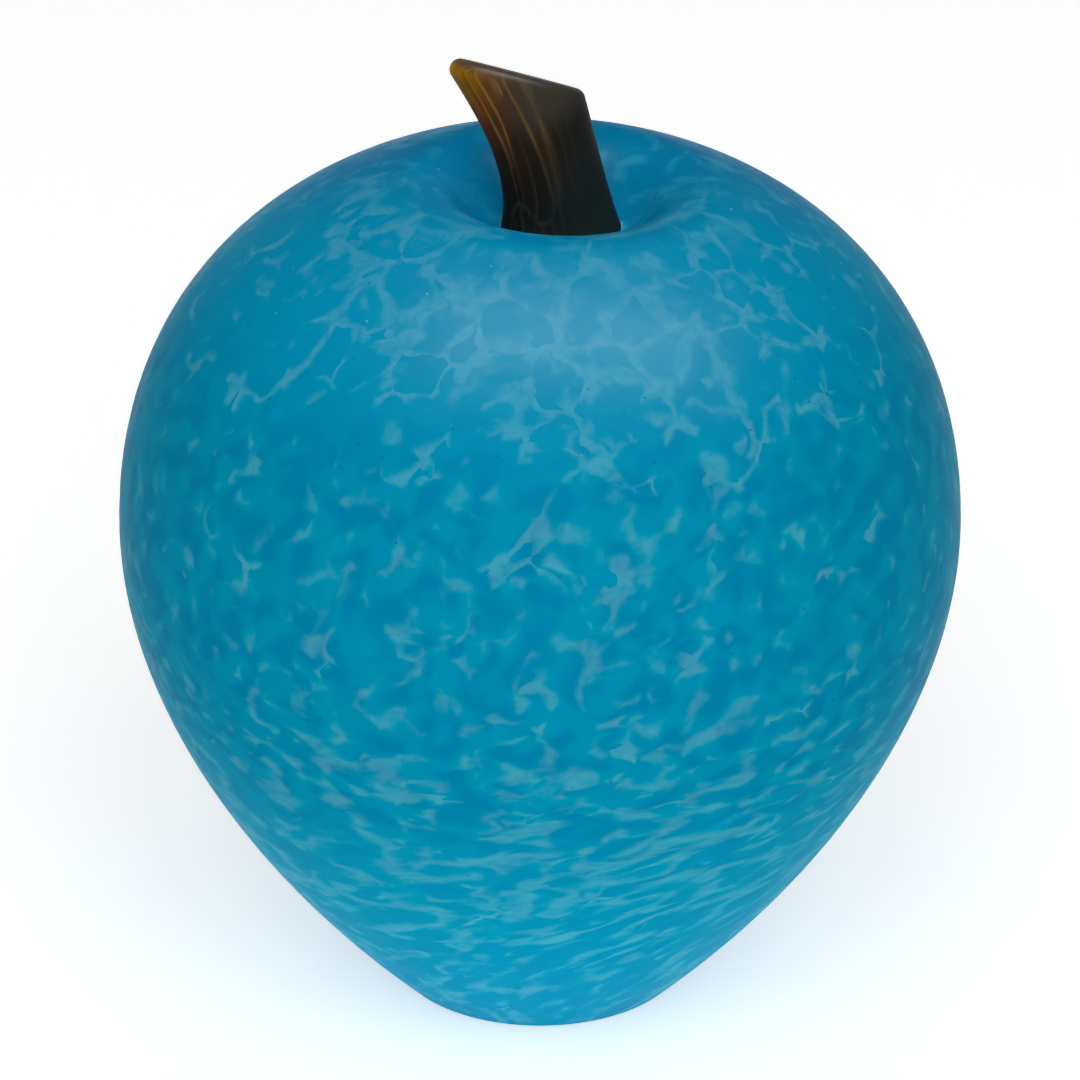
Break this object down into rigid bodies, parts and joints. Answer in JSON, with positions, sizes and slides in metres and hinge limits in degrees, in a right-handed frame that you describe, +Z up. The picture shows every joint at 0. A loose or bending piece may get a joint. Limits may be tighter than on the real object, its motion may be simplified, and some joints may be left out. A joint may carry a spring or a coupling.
{
  "type": "art glass apple",
  "caption": "Hollow blown glass apple with a tapered flank, flat ground base, mottled satin skin and a bent glass stem set in a dimple; a decorative paperweight.",
  "frame": {"origin": "middle of the ground base, on the surface that the apple stands on", "axes": "+Z up through the apple, +X to the right as seen from the front, the front faces -Y; the stem bends to -X"},
  "size_m": [0.095, 0.095, 0.1139],
  "materials": {
    "opal_glass": "opaque pale opal glass",
    "frit_glass": "melted turquoise frit, broken by pale veins",
    "satin_casing": "clear casing with a satin etched skin, the frit showing through",
    "stem_glass": "satin brown-black glass with amber streaks and a thin amber tip"
  },
  "bodies": {
    "root": {"opal_bubble": "opal_glass", "frit_coat": "frit_glass", "clear_casing": "satin_casing", "stem": "stem_glass"}
  },
  "joints": []
}
